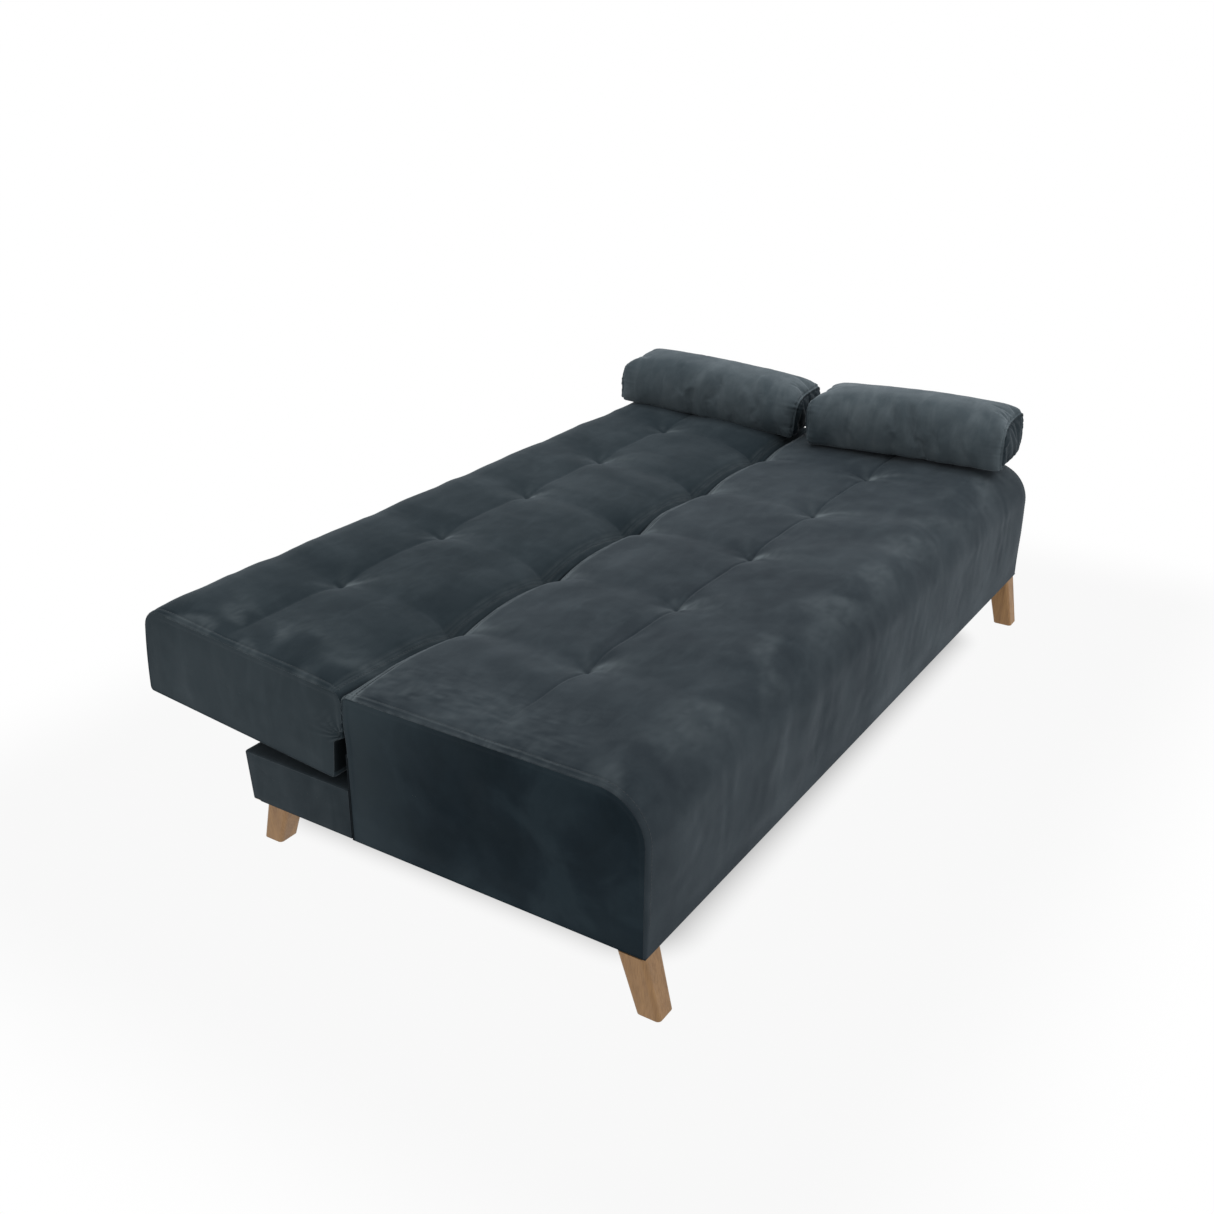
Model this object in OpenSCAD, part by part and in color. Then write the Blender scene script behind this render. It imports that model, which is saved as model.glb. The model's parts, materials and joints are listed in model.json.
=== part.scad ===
// Click-clack sofa bed laid flat as a bed: a storage base on four splayed legs,
// a seat block that lifts like a lid, a back block that folds on ratchet hinges,
// and two loose box cushions at one end.
// Millimetres. +X along the length, +Y towards the back block, +Z up.
// The origin is the middle of the footprint, on the floor.

/* [Overall] */
// Length of the seat and back blocks
bed_l = 1900; // [1750:10:2100]
// Depth of the seat block
seat_d = 617; // [580:1:660]
// Height of the underside of the upholstered body
body_z = 128; // [110:1:170]
// Height of the flat-felled seam along the top edges of the seat
seam_z = 425; // [405:1:440]
// Extra height of the seat's crown above that seam
crown = 15; // [5:1:25]

/* [Back block] */
// Thickness of the back block
back_t = 183; // [170:1:183]
// Length of the back block behind its pivot
back_reach = 397; // [360:1:420]
// Tilt of the back block when it is laid flat
flat_tilt = 5; // [3:0.5:6]
// Gap between the seat's rear face and the pivot axis
pivot_gap = 105.5; // [105.5:0.5:112]
// Height of the pivot axis
pivot_z = 344; // [344:1:352]

/* [Base] */
// Depth of the base behind the seat, at its top
shelf_d = 264; // [240:1:290]
// How far the rear board leans inwards at its foot
rear_lean = 10; // [0:1:20]
// Height of the shelf under the back block
shelf_z = 231; // [230:1:239]
// Thickness of the boards
board = 18; // [15:1:18]

/* [Legs] */
// Side of a leg's top
leg_top = 54; // [45:1:56]
// Side of a leg's foot
leg_foot = 46; // [34:1:48]
// How far the front feet stand forward of their tops
front_splay = 28; // [10:1:34]
// How far the rear feet stand behind their tops
rear_splay = 42; // [10:1:46]

/* [Cushions] */
// Length of a loose cushion
cushion_l = 480; // [400:5:490]
// Width of a loose cushion
cushion_w = 235; // [200:5:240]
// Height of a loose cushion
cushion_h = 130; // [100:5:150]

/* [Hidden] */
$fn = 96;
cover = 2;
half = bed_l / 2;

// Seat block, measured from its front face
front_r = 90;
rear_r = 50;
hinge_y = seat_d - rear_r;
hinge_z = seam_z - rear_r;
apron_z = body_z + 1;
deck_z = 344;
rail_h = 40;
strap_t = 2;
apron_x = half - 30;
apron_t = board;
apron_y = 12;

// Back block, measured from its pivot axis: u runs rearwards, v upwards
q = back_t / 2;
end_r = 60;
tail_top_r = 45;
tail_low_r = 25;
pivot_y = seat_d + pivot_gap;
foam_v = 10;
frame_v = -50;
panel_t = 6;
frame_u0 = -70;
frame_u1 = 385;
frame_x = half - 25;

// Steel hinges
plate = 5;
pin_r = 6;
running = 0.05;
fixed_x = 872;
arm_x = 878;
slot_x0 = 862;
slot_x1 = arm_x + plate;
slot_u = 35;
slot_v = 30;
eye_r = 22;
wheel_r = 24;
wheel_t = 6;
seat_fix_x = 908;
seat_arm_x = 915;
seat_eye_r = 18;
notch_x0 = 902;
notch_x1 = 926;

// Base
rear_y = seat_d + shelf_d;
foot_y = rear_y - rear_lean;
shelf_y = seat_d + 5;
panel_z = body_z + 12;
bumper_h = 9;
wall_z = deck_z - rail_h - bumper_h;
wall_y = 36;
wall_x = 890;
base_x = half - 3;
rib_x0 = fixed_x - 30;

// Legs
glide = 3;
leg_plate_t = 3;
leg_z = body_z - leg_plate_t;
front_leg_x = half - 29;
front_leg_y = 30;
rear_leg_x = half - 66;
rear_leg_y = foot_y - leg_top / 2;
foot_in = 8;
bolt_in = 14;

// Where the front face lies, so that the footprint is centred
front_over = leg_foot / 2 - front_leg_y + front_splay;
tail_u = back_reach - tail_low_r;
tail_v = q - tail_low_r;
rear_over = pivot_y + tail_u * cos(flat_tilt) + tail_v * sin(flat_tilt) + tail_low_r;
front_y = -(rear_over - front_over) / 2;

// ---- helpers ----

// From coordinates measured at the seat's front face to the part's frame
module from_front() { translate([0, front_y, 0]) children(); }

// From coordinates measured at the back's pivot, laid flat, to the part's frame
module from_pivot() {
    translate([0, front_y + pivot_y, pivot_z]) rotate([flat_tilt, 0, 0]) children();
}

// A side profile, with Y to the right and Z up, extruded from x0 to x1
module along_x(x0, x1) { translate([x0, 0, 0]) rotate([90, 0, 90]) linear_extrude(x1 - x0) children(); }

// What is cut away to round a corner about its centre, towards the signs sx and sy
module corner_cut(x, y, sx, sy, r) {
    translate([x, y]) mirror([sx < 0 ? 1 : 0, 0]) mirror([0, sy < 0 ? 1 : 0]) difference() {
        square(r + 5);
        circle(r);
    }
}

module block(x0, x1, y0, y1, z0, z1) { translate([x0, y0, z0]) cube([x1 - x0, y1 - y0, z1 - z0]); }

module both_ends() {
    children();
    mirror([1, 0, 0]) children();
}

module rod_x(x0, x1, y, z, r) { translate([x0, y, z]) rotate([0, 90, 0]) cylinder(h = x1 - x0, r = r); }

// Bolt along X with a head at x0 and a nut at x1
module bolt_x(x0, x1, y, z, r) {
    rod_x(x0, x1, y, z, r);
    rod_x(x0 - 5, x0, y, z, 2 * r);
    rod_x(x1, x1 + 5, y, z, 2 * r);
}

// ---- base: boards ----

module floor_panel() {
    color("burlywood") from_front() difference() {
        block(-918, 918, wall_y - 2, foot_y - board - 1, body_z, panel_z);
        leg_bolt_places() cylinder(h = 400, r = 4);
    }
}

module front_wall() {
    color("burlywood") from_front()
        block(-wall_x, wall_x, wall_y, wall_y + board, panel_z, wall_z);
}

// The rear end of the wall is low, so that the seat's rear rail swings past it
module side_wall() {
    color("burlywood") from_front() difference() {
        union() {
            block(wall_x, wall_x + board, wall_y, hinge_y - 27, panel_z, wall_z);
            block(wall_x, wall_x + board, hinge_y - 27, seat_d - 17, panel_z, 235);
        }
        seat_screw_places() rod_x(wall_x - 1, wall_x + board + 1, 0, 0, 3);
    }
}

module shelf_riser() {
    color("burlywood") from_front()
        block(-base_x + 20, base_x - 20, shelf_y, shelf_y + board, panel_z, shelf_z - 18);
}

module shelf_board() {
    color("burlywood") from_front() difference() {
        block(-base_x + 20, base_x - 20, shelf_y, rear_y - board - 3, shelf_z - 18, shelf_z - cover);
        both_ends() block(858, 892, 688, 758, shelf_z - 30, shelf_z + 1);
    }
}

// Side outline of the base behind the seat, inset on its top and rear
module shelf_outline(i, y0, z0) {
    slope = rear_lean / (shelf_z - body_z);
    polygon([
        [y0, z0], [foot_y - i + (z0 - body_z) * slope, z0],
        [rear_y - i - i * slope, shelf_z - i], [y0, shelf_z - i]
    ]);
}

module shelf_end() {
    color("burlywood") from_front()
        along_x(base_x - 20, base_x - cover) shelf_outline(cover, shelf_y, body_z);
}

module rear_board() {
    color("burlywood") from_front() along_x(-base_x + 20, base_x - 20) difference() {
        shelf_outline(cover, shelf_y, body_z);
        shelf_outline(cover + board, shelf_y - 1, body_z - 40);
        translate([shelf_y - 1, body_z - 1]) square([rear_y - board - 2 - shelf_y, 200]);
    }
}

module base_cover() {
    color("#343e48") from_front() difference() {
        along_x(-base_x, base_x) shelf_outline(0, shelf_y, body_z);
        along_x(-base_x + cover, base_x - cover) shelf_outline(cover, shelf_y - 1, body_z - 1);
        both_ends() block(858, 892, 688, 758, shelf_z - 30, shelf_z + 1);
    }
}

module corner_blocks() {
    color("tan") from_front() both_ends() {
        block(wall_x - 45, wall_x, wall_y + board, wall_y + board + 45, panel_z, panel_z + 60);
        block(base_x - 65, base_x - 20, foot_y - board - 50, foot_y - board - 5, panel_z, panel_z + 50);
    }
}

module hinge_ribs() {
    color("tan") from_front() both_ends() difference() {
        block(rib_x0, fixed_x, shelf_y + board + 2, foot_y - board - 8, panel_z, shelf_z - 18);
        hinge_bolt_places() rod_x(rib_x0 - 1, fixed_x + 1, 0, 0, 4);
    }
}

// Rubber pads that the seat frame rests on
module bumpers() {
    color("dimgray") from_front() both_ends() {
        for (y = [120, 420]) translate([wall_x + board / 2, y, wall_z]) cylinder(h = bumper_h, r = 8);
        translate([500, wall_y + board / 2, wall_z]) cylinder(h = bumper_h, r = 8);
    }
}

// ---- base: legs ----

module rounded_foot(side, r) {
    for (x = [-1, 1], y = [-1, 1])
        translate([x * (side / 2 - r), y * (side / 2 - r), 0]) cylinder(h = 0.5, r = r, $fn = 32);
}

// A tapered oak leg, rounded along its corners and splayed along Y
module leg(x, y, splay, inward) {
    color("#ac855c") from_front() difference() {
        hull() {
            translate([x, y, leg_z - 0.5]) rounded_foot(leg_top, 9);
            translate([x - inward, y + splay, glide]) rounded_foot(leg_foot, 8);
        }
        leg_bolt_places() cylinder(h = 400, r = 4);
    }
}

module leg_front() { leg(front_leg_x, front_leg_y, -front_splay, foot_in); }
module leg_rear() { leg(rear_leg_x, rear_leg_y, rear_splay, foot_in); }

// The bolt stands at the inner corner of each leg, where the floor panel is above it
module leg_bolt_places() {
    both_ends() {
        translate([front_leg_x - bolt_in, front_leg_y + bolt_in, 100]) children();
        translate([rear_leg_x, rear_leg_y - bolt_in, 100]) children();
    }
}

module leg_plates() {
    color("silver") from_front() difference() {
        both_ends() {
            block(half - 115, half - 5, 6, 116, leg_z, body_z);
            block(rear_leg_x - 55, rear_leg_x + 30, foot_y - 92, foot_y - 4, leg_z, body_z);
        }
        leg_bolt_places() cylinder(h = 400, r = 4);
    }
}

module leg_bolts() {
    color("silver") from_front() leg_bolt_places() cylinder(h = panel_z - 100, r = 4);
}

module glides() {
    color("#3a3a3a") from_front() both_ends() {
        translate([front_leg_x - foot_in, front_leg_y - front_splay, 0]) cylinder(h = glide, r = 16);
        translate([rear_leg_x - foot_in, rear_leg_y + rear_splay, 0]) cylinder(h = glide, r = 16);
    }
}

// ---- base: hinges ----

module hinge_bolt_places() {
    for (p = [[-12, 168], [12, 200]]) translate([0, pivot_y + p[0], p[1]]) children();
}

module hinge_plate() {
    color("silver") from_front() difference() {
        along_x(fixed_x, fixed_x + plate) {
            translate([pivot_y, pivot_z]) circle(eye_r);
            translate([pivot_y - eye_r, panel_z]) square([2 * eye_r, pivot_z - panel_z]);
        }
        rod_x(fixed_x - 1, fixed_x + plate + 1, pivot_y, pivot_z, pin_r + running);
        hinge_bolt_places() rod_x(fixed_x - 1, fixed_x + plate + 1, 0, 0, 4);
    }
}

module hinge_bolts() {
    color("silver") from_front() both_ends() hinge_bolt_places() bolt_x(rib_x0, fixed_x + plate, 0, 0, 4);
}

// The pawl of each ratchet, shown lifted clear of its wheel
module pawls() {
    color("gray") from_front() both_ends()
        along_x(fixed_x - wheel_t, fixed_x) translate([pivot_y, pivot_z]) {
            translate([6, -wheel_r - 26]) circle(8);
            polygon([[-2, -wheel_r - 26], [14, -wheel_r - 26], [3, -wheel_r - 2], [-4, -wheel_r - 2]]);
        }
}

module seat_screw_places() {
    for (p = [[hinge_y - 52, 200], [hinge_y - 32, 262]]) translate([0, p[0], p[1]]) children();
}

// Cranked forwards, so that it clears the seat's rear edge when the seat is up
module seat_hinge() {
    color("silver") from_front() difference() {
        along_x(seat_fix_x, seat_fix_x + plate) {
            translate([hinge_y, hinge_z]) circle(seat_eye_r);
            polygon([
                [hinge_y - 16, hinge_z + 6], [hinge_y + 16, hinge_z - 6], [hinge_y - 22, 272],
                [hinge_y - 22, 180], [hinge_y - 62, 180], [hinge_y - 62, 284]
            ]);
        }
        rod_x(seat_fix_x - 1, seat_fix_x + plate + 1, hinge_y, hinge_z, pin_r + running);
        seat_screw_places() rod_x(seat_fix_x - 1, seat_fix_x + plate + 1, 0, 0, 3);
    }
}

module seat_hinge_screws() {
    color("gray") from_front() both_ends() seat_screw_places() {
        rod_x(wall_x, seat_fix_x + plate, 0, 0, 3);
        rod_x(seat_fix_x + plate, seat_fix_x + plate + 1.5, 0, 0, 6);
    }
}

// ---- seat block ----

// Side outline of the seat block, inset all round, down to the height z0
module seat_outline(i, z0) {
    top = seam_z + crown - i;
    difference() {
        polygon([
            [i, z0], [i, seam_z - i], [front_r, seam_z - i], [front_r + 70, top],
            [hinge_y - 70, top], [hinge_y, seam_z - i], [seat_d - i, seam_z - i], [seat_d - i, z0]
        ]);
        corner_cut(front_r, seam_z - front_r, -1, 1, front_r - i);
        corner_cut(hinge_y, hinge_z, 1, 1, rear_r - i);
    }
}

module hinge_notches() {
    both_ends() block(notch_x0, notch_x1, hinge_y - 70, seat_d - cover, deck_z - 1, hinge_z + 20);
}

module seat_front_board() {
    color("burlywood") from_front()
        block(-apron_x, apron_x, apron_y, apron_y + apron_t, apron_z + 1, deck_z);
}

module seat_end_board() {
    color("burlywood") from_front()
        block(apron_x, apron_x + apron_t, apron_y, seat_d - cover, apron_z + 1, deck_z);
}

module seat_rail_front() {
    color("tan") from_front() block(-apron_x, apron_x, 30, 65, deck_z - rail_h, deck_z);
}

module seat_rail_rear() {
    color("tan") from_front() block(-905, 905, 572, 610, deck_z - rail_h, deck_z);
}

module seat_rail_end() {
    color("tan") from_front() {
        block(870, 905, 65, 572, deck_z - rail_h, deck_z);
        block(904, apron_x, 65, 470, deck_z - rail_h, deck_z);
    }
}

module seat_cross_rails() {
    color("tan") from_front()
        for (x = [-300, 300]) block(x - 17, x + 17, 65, 572, deck_z - rail_h, deck_z);
}

// Elastic webbing, front to back
module seat_straps() {
    color("dimgray") from_front()
        for (k = [-8:8]) block(k * 100 - 25, k * 100 + 25, 34, 606, deck_z, deck_z + strap_t);
}

module seat_foam() {
    color("khaki") from_front() difference() {
        along_x(-half + cover, half - cover) intersection() {
            seat_outline(cover, body_z);
            translate([0, deck_z + strap_t]) square([seat_d, 200]);
        }
        hinge_notches();
    }
}

// Padding behind the cover, from the apron's lower edge up to the foam
module apron_layer(x0, x1, depth) {
    along_x(x0, x1) intersection() {
        seat_outline(cover, apron_z);
        translate([0, apron_z]) square([depth, deck_z + strap_t - apron_z]);
    }
}

module seat_front_pad() { color("khaki") from_front() apron_layer(-apron_x, apron_x, apron_y); }

module seat_end_pads() {
    color("khaki") from_front() both_ends() apron_layer(apron_x + apron_t, half - cover, seat_d);
}

// The cover is open below, and its rear side is a short flap
module seat_cover() {
    color("#2e3840") from_front() difference() {
        along_x(-half, half) seat_outline(0, apron_z);
        along_x(-half + cover, half - cover) seat_outline(cover, apron_z - 1);
        block(-apron_x, apron_x, seat_d - 10, seat_d + 10, apron_z - 1, 300);
    }
}

module seat_arms() {
    color("silver") from_front() both_ends() difference() {
        along_x(seat_arm_x, seat_arm_x + plate) {
            translate([hinge_y, hinge_z]) circle(seat_eye_r);
            translate([hinge_y - seat_eye_r, 230]) square([2 * seat_eye_r, hinge_z - 230]);
        }
        rod_x(seat_arm_x - 1, seat_arm_x + plate + 1, hinge_y, hinge_z, pin_r);
    }
}

module seat_pins() {
    color("gray") from_front() both_ends() {
        rod_x(seat_fix_x - 2, seat_arm_x + plate + 3, hinge_y, hinge_z, pin_r);
        rod_x(seat_fix_x - 5, seat_fix_x - 1, hinge_y, hinge_z, 10);
    }
}

// ---- back block, in the pivot's own coordinates ----

// Side outline of the back block, inset all round
module back_outline(i) {
    difference() {
        translate([-q + i, -q + i]) square([q + back_reach - 2 * i, 2 * q - 2 * i]);
        corner_cut(-q + end_r, q - end_r, -1, 1, end_r - i);
        corner_cut(-q + end_r, -q + end_r, -1, -1, end_r - i);
        corner_cut(back_reach - tail_top_r, q - tail_top_r, 1, 1, tail_top_r - i);
        corner_cut(back_reach - tail_low_r, -q + tail_low_r, 1, -1, tail_low_r - i);
    }
}

// Room for the fixed hinge plates through the whole swing
module hinge_slots() {
    both_ends() block(slot_x0, slot_x1, -q - 5, slot_u, -q - 5, slot_v);
}

// A layer of the back block between two heights
module back_layer(x, v0, v1) {
    difference() {
        along_x(-x, x) intersection() {
            back_outline(cover);
            translate([-q, v0]) square([q + back_reach, v1 - v0]);
        }
        hinge_slots();
    }
}

module back_rail_nose() {
    color("tan") from_pivot() block(-slot_x0, slot_x0, frame_u0, frame_u0 + 25, frame_v, foam_v - strap_t);
}

module back_rail_hinge() {
    color("tan") from_pivot() block(-arm_x, arm_x, slot_u + 5, slot_u + 45, frame_v, foam_v - strap_t);
}

module back_rail_rear() {
    color("tan") from_pivot()
        block(-slot_x1, slot_x1, frame_u1 - 35, frame_u1, frame_v, foam_v - strap_t);
}

module back_rail_end() {
    color("tan") from_pivot() block(slot_x1, frame_x, frame_u0, frame_u1, frame_v, foam_v - strap_t);
}

module back_cross_rails() {
    color("tan") from_pivot() for (x = [-300, 300]) {
        block(x - 17, x + 17, frame_u0 + 25, slot_u + 5, frame_v, foam_v - strap_t);
        block(x - 17, x + 17, slot_u + 45, frame_u1 - 35, frame_v, foam_v - strap_t);
    }
}

module back_straps() {
    color("dimgray") from_pivot()
        for (k = [-8:8]) block(k * 100 - 25, k * 100 + 25, frame_u0 + 3, frame_u1 - 3, foam_v - strap_t, foam_v);
}

module back_panel() {
    color("peru") from_pivot() difference() {
        block(-frame_x, frame_x, frame_u0, frame_u1, frame_v - panel_t, frame_v);
        hinge_slots();
    }
}

module back_foam() { color("khaki") from_pivot() back_layer(half - cover, foam_v, q); }
module back_wadding() { color("khaki") from_pivot() back_layer(half - cover, -q, frame_v - panel_t); }

// Strips of padding round the frame: two ends, the nose and the tail
module back_edge_pads() {
    color("khaki") from_pivot() {
        both_ends() along_x(frame_x, half - cover) pad_band(-q, back_reach);
        difference() {
            along_x(-frame_x + 0.5, frame_x - 0.5) pad_band(-q, frame_u0);
            hinge_slots();
        }
        along_x(-frame_x + 0.5, frame_x - 0.5) pad_band(frame_u1, back_reach);
    }
}

module pad_band(u0, u1) {
    intersection() {
        back_outline(cover);
        translate([u0, frame_v - panel_t]) square([u1 - u0, foam_v - frame_v + panel_t]);
    }
}

module back_cover() {
    color("#2e3840") from_pivot() difference() {
        along_x(-half, half) back_outline(0);
        along_x(-half + cover, half - cover) back_outline(cover);
        hinge_slots();
    }
}

module back_arms() {
    color("silver") from_pivot() both_ends() difference() {
        along_x(arm_x, arm_x + plate) {
            circle(eye_r);
            polygon([[0, eye_r - 4], [70, -6], [150, -6], [150, -42], [40, -42], [0, -eye_r + 4]]);
        }
        rod_x(arm_x - 1, arm_x + plate + 1, 0, 0, pin_r);
    }
}

module pivot_pins() {
    color("gray") from_pivot() both_ends() rod_x(fixed_x - wheel_t - 1, arm_x + plate, 0, 0, pin_r);
}

// One notch for each resting angle of the back, and a stop notch at the end
module ratchet_wheels() {
    color("gray") from_pivot() both_ends() difference() {
        rod_x(fixed_x - wheel_t - 1, fixed_x - 1, 0, 0, wheel_r);
        rod_x(fixed_x - wheel_t - 2, fixed_x, 0, 0, pin_r);
        for (a = [0, 38, 74, 82]) rotate([-a - flat_tilt, 0, 0])
            translate([fixed_x - wheel_t - 2, -3, -wheel_r - 1]) cube([wheel_t + 2, 6, 6]);
    }
}

// ---- cushions ----

module cushion() {
    r = 45;
    rotate([90, 0, 0]) translate([0, 0, -cushion_l / 2]) linear_extrude(cushion_l) difference() {
        translate([-cushion_w / 2, 0]) square([cushion_w, cushion_h]);
        for (x = [-1, 1], z = [-1, 1])
            corner_cut(x * (cushion_w / 2 - r), cushion_h / 2 + z * (cushion_h / 2 - r), x, z, r);
    }
}

module cushion_front() {
    color("#4b585e") from_front()
        translate([half - cushion_w / 2 - 2, 292, seam_z + crown + 1]) cushion();
}

module cushion_rear() {
    color("#4b585e") from_pivot()
        translate([half - cushion_w / 2 - 24, 146, q + 1]) rotate([0, 0, -5]) cushion();
}

floor_panel();
front_wall();
mirror([1, 0, 0]) side_wall();  // side_wall_left
side_wall();  // side_wall_right
shelf_riser();
shelf_board();
mirror([1, 0, 0]) shelf_end();  // shelf_end_left
shelf_end();  // shelf_end_right
rear_board();
base_cover();
corner_blocks();
hinge_ribs();
bumpers();
mirror([1, 0, 0]) leg_front();  // leg_front_left
leg_front();  // leg_front_right
mirror([1, 0, 0]) leg_rear();  // leg_rear_left
leg_rear();  // leg_rear_right
leg_plates();
leg_bolts();
glides();
mirror([1, 0, 0]) hinge_plate();  // hinge_plate_left
hinge_plate();  // hinge_plate_right
hinge_bolts();
pawls();
mirror([1, 0, 0]) seat_hinge();  // seat_hinge_left
seat_hinge();  // seat_hinge_right
seat_hinge_screws();
seat_front_board();
mirror([1, 0, 0]) seat_end_board();  // seat_end_board_left
seat_end_board();  // seat_end_board_right
seat_rail_front();
seat_rail_rear();
mirror([1, 0, 0]) seat_rail_end();  // seat_rail_left
seat_rail_end();  // seat_rail_right
seat_cross_rails();
seat_straps();
seat_foam();
seat_front_pad();
seat_end_pads();
seat_cover();
seat_arms();
seat_pins();
back_rail_nose();
back_rail_hinge();
back_rail_rear();
mirror([1, 0, 0]) back_rail_end();  // back_rail_left
back_rail_end();  // back_rail_right
back_cross_rails();
back_straps();
back_panel();
back_foam();
back_wadding();
back_edge_pads();
back_cover();
back_arms();
pivot_pins();
ratchet_wheels();
cushion_front();
cushion_rear();
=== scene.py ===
"""Click-clack sofa bed in slate velvet, laid flat, with two loose box cushions on it."""

import json
import math

import bmesh
import bpy
import numpy as np
from mathutils import Matrix, Vector


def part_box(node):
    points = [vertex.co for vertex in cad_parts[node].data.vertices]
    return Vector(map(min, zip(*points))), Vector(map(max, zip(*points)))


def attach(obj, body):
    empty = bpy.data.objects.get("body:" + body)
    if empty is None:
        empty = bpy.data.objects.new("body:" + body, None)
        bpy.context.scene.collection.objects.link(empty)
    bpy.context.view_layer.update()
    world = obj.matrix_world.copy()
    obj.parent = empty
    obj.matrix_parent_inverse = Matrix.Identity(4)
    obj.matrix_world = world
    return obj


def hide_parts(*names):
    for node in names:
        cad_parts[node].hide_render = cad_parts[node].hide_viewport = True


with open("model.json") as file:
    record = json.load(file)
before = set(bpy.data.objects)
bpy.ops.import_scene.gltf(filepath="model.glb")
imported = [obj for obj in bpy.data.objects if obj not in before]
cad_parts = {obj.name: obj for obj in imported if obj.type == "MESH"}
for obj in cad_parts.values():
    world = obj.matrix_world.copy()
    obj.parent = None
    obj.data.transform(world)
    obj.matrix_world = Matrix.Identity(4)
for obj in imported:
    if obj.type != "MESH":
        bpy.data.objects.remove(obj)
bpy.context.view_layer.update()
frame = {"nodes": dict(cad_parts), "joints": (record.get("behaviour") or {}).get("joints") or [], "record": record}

SCENE = bpy.context.scene

# ---- sizes, in metres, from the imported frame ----

MM = 0.001
SEAT_LO, SEAT_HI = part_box("seat_cover")
BASE_LO, BASE_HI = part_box("base_cover")
JOINT = {j["name"]: j for j in frame["joints"]}
PIVOT = Vector(JOINT["back_fold"]["pos_m"])
HALF = SEAT_HI.x
FRONT_Y, SEAT_REAR_Y = SEAT_LO.y, SEAT_HI.y
SEAT_D = SEAT_REAR_Y - FRONT_Y
APRON_Z = SEAT_LO.z
SEAM_Z = SEAT_HI.z - 15 * MM
TILT = math.radians(5)
BACK_Q = 91.5 * MM
BACK_REACH = 397 * MM
SLOT_X = (862 * MM, 883 * MM)
SLOT_U, SLOT_V = 35 * MM, 30 * MM
TUFT_X = [k * HALF / 3 for k in (-2, -1, 0, 1, 2)]
SEAT_TUFT_Y = 0.3175
BACK_TUFT_U = 0.193
STEP = 7.5 * MM
FINE = 0.5 * MM
HAIR = 1e-6
FLOOR_HALF = 9.0


# ---- small numeric helpers ----

def smooth(t, width=1.0):
    """0 below 0 and 1 above `width`, with an even curve between."""
    t = np.clip(t / width, 0, 1)
    return t * t * (3 - 2 * t)


def unit(v):
    return v / np.linalg.norm(v, axis=-1, keepdims=True)


def hump(t, width):
    return np.exp(-(t / width) ** 2)


def waves(a, b, size, seed, count=14):
    """Soft uneven waves about `size` metres long, the same on every run."""
    rng = np.random.default_rng(seed)
    total = 0.0
    warp = 0.35 * size * np.sin(a * 2.1 / size + seed) * np.sin(b * 1.7 / size + 2 * seed)
    for _ in range(count):
        turn, phase = rng.uniform(0, math.pi), rng.uniform(0, 2 * math.pi)
        k = 2 * math.pi / size * rng.uniform(0.6, 1.5)
        total += np.sin(k * ((a + warp) * math.cos(turn) + (b - warp) * math.sin(turn)) + phase)
    return total / math.sqrt(count)


def look_up(at, known, values):
    """Values read at places between the known ones, column by column."""
    return np.stack([np.interp(at, known, column) for column in values.T], -1)


def uneven(a, b, *layers):
    """Sum of waves, each layer given as (height, size, seed) in millimetres."""
    return sum(height * MM * waves(a, b, size * MM, seed) for height, size, seed in layers)


class Path:
    """A side outline through (y, z, corner radius) points, followed by arc length."""

    def __init__(self, corners):
        points = [np.array(corners[0][:2])]
        for before, here, after in zip(corners, corners[1:], corners[2:]):
            points += self.arc(before, here, after)
        points.append(np.array(corners[-1][:2]))
        rough = np.array(points)
        length = np.r_[0, np.cumsum(np.linalg.norm(np.diff(rough, axis=0), axis=1))]
        keep = np.r_[True, np.diff(length) > 1e-9]
        rough, length = rough[keep], length[keep]
        self.s = np.linspace(0, length[-1], int(length[-1] / FINE) + 1)
        self.p = look_up(self.s, length, rough)
        along = unit(np.gradient(self.p, self.s, axis=0))
        self.n = np.stack([-along[:, 1], along[:, 0]], 1)
        self.length = self.s[-1]

    @staticmethod
    def arc(before, here, after):
        a, c, b = (np.array(p[:2], float) for p in (before, here, after))
        r = here[2]
        if r <= 0:
            return [c]
        d0 = (a - c) / np.linalg.norm(a - c)
        d1 = (b - c) / np.linalg.norm(b - c)
        half = math.acos(float(np.clip(d0 @ d1, -1, 1))) / 2
        t = r / math.tan(half)
        centre = c + (d0 + d1) / np.linalg.norm(d0 + d1) * r / math.sin(half)
        v0, v1 = c + d0 * t - centre, c + d1 * t - centre
        a0 = math.atan2(v0[1], v0[0])
        turn = (math.atan2(v1[1], v1[0]) - a0 + math.pi) % (2 * math.pi) - math.pi
        steps = max(4, int(abs(turn) * r / FINE))
        return [centre + r * np.array([math.cos(a0 + turn * k / steps), math.sin(a0 + turn * k / steps)])
                for k in range(steps + 1)]

    def at(self, s):
        p, n = (look_up(np.asarray(s, float), self.s, values) for values in (self.p, self.n))
        return p, unit(n)

    def where(self, y=None, z=None, nearest_to=0.0):
        """Arc length at which the outline has that y or z, nearest to a given arc length."""
        axis, value = (0, y) if y is not None else (1, z)
        gap = self.p[:, axis] - value
        hits = self.s[:-1][np.sign(gap[:-1]) != np.sign(gap[1:])]
        if not len(hits):
            return float(self.s[np.argmin(abs(gap))])
        return float(hits[np.argmin(abs(hits - nearest_to))])

    def samples(self, step, rows=(), lines=()):
        """Arc lengths for a mesh: closer round the corners and near the rows of tufts, exact at lines."""
        bend = np.linalg.norm(np.gradient(self.n, self.s, axis=0), axis=1)
        gap = np.minimum(graded(self.s, rows, step), np.clip(0.3 / np.maximum(bend, 1e-6), 1.6 * MM, 1))
        width = max(3, int(6 * MM / FINE))
        gap = np.convolve(np.pad(gap, width, mode="edge"), np.ones(width) / width, mode="same")[width:-width]
        return insert(spaced(self.s, gap), lines)


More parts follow.
